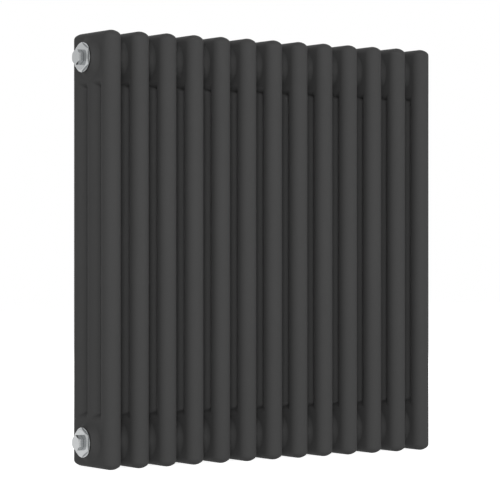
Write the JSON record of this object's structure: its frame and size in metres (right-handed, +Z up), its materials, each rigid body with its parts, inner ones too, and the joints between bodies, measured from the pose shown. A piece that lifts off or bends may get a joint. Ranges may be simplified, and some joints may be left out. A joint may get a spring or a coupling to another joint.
{
  "type": "column radiator",
  "caption": "Steel column radiator: slim sections of round tubes between pressed heads, joined hub to hub, with a bleed screw, a drain screw and open valve ports.",
  "frame": {"origin": "under the middle section, at mid depth, on the level of the flat lands of the lower heads", "axes": "+X along the row to the right, towards the open valve ports; front faces -Y; +Z up"},
  "size_m": [0.6017, 0.1, 0.6],
  "materials": {
    "powder_coated_steel": "anthracite powder coat, matt",
    "chromed_brass": "bright chrome plate on brass",
    "bare_steel": "turned and oiled",
    "fibre_gasket": "compressed fibre, dull",
    "black_rubber": "moulded, dull"
  },
  "bodies": {
    "radiator": {"bottom_hub_gaskets": "fibre_gasket", "bottom_hub_nipples": "bare_steel", "bottom_right_bush": "chromed_brass", "bottom_right_bush_seal": "black_rubber", "drain_bush": "chromed_brass", "drain_bush_seal": "black_rubber", "section_01_bottom_head": "powder_coated_steel", "section_01_top_head": "powder_coated_steel", "section_01_tubes": "powder_coated_steel", "section_02_bottom_head": "powder_coated_steel", "section_02_top_head": "powder_coated_steel", "section_02_tubes": "powder_coated_steel", "section_03_bottom_head": "powder_coated_steel", "section_03_top_head": "powder_coated_steel", "section_03_tubes": "powder_coated_steel", "section_04_bottom_head": "powder_coated_steel", "section_04_top_head": "powder_coated_steel", "section_04_tubes": "powder_coated_steel", "section_05_bottom_head": "powder_coated_steel", "section_05_top_head": "powder_coated_steel", "section_05_tubes": "powder_coated_steel", "section_06_bottom_head": "powder_coated_steel", "section_06_top_head": "powder_coated_steel", "section_06_tubes": "powder_coated_steel", "section_07_bottom_head": "powder_coated_steel", "section_07_top_head": "powder_coated_steel", "section_07_tubes": "powder_coated_steel", "section_08_bottom_head": "powder_coated_steel", "section_08_top_head": "powder_coated_steel", "section_08_tubes": "powder_coated_steel", "section_09_bottom_head": "powder_coated_steel", "section_09_top_head": "powder_coated_steel", "section_09_tubes": "powder_coated_steel", "section_10_bottom_head": "powder_coated_steel", "section_10_top_head": "powder_coated_steel", "section_10_tubes": "powder_coated_steel", "section_11_bottom_head": "powder_coated_steel", "section_11_top_head": "powder_coated_steel", "section_11_tubes": "powder_coated_steel", "section_12_bottom_head": "powder_coated_steel", "section_12_top_head": "powder_coated_steel", "section_12_tubes": "powder_coated_steel", "section_13_bottom_head": "powder_coated_steel", "section_13_top_head": "powder_coated_steel", "section_13_tubes": "powder_coated_steel", "top_hub_gaskets": "fibre_gasket", "top_hub_nipples": "bare_steel", "top_right_bush": "chromed_brass", "top_right_bush_seal": "black_rubber", "vent_bush": "chromed_brass", "vent_bush_seal": "black_rubber"},
    "vent_lift": {"vent_seal_pad": "black_rubber"},
    "vent_screw": {"vent_screw": "chromed_brass", "vent_screw_ring": "black_rubber"},
    "drain_lift": {"drain_seal_pad": "black_rubber"},
    "drain_screw": {"drain_screw": "chromed_brass", "drain_screw_ring": "black_rubber"}
  },
  "joints": [
    {"name": "vent_travel", "type": "slide", "parent": "radiator", "child": "vent_lift", "axis": [-1, 0, 0], "range_m": [0, 0.0015]},
    {"name": "vent_turn", "type": "hinge", "parent": "vent_lift", "child": "vent_screw", "pos_m": [-0.2921, 0, 0.564], "axis": [-1, 0, 0], "range_deg": [0, 541]},
    {"name": "drain_travel", "type": "slide", "parent": "radiator", "child": "drain_lift", "axis": [-1, 0, 0], "range_m": [0, 0.0015]},
    {"name": "drain_turn", "type": "hinge", "parent": "drain_lift", "child": "drain_screw", "pos_m": [-0.2921, 0, 0.036], "axis": [-1, 0, 0], "range_deg": [0, 541]}
  ],
  "couplings": [
    {"joint": "vent_turn", "follows": "vent_travel", "rad_per_m": 6283.2},
    {"joint": "drain_turn", "follows": "drain_travel", "rad_per_m": 6283.2}
  ]
}
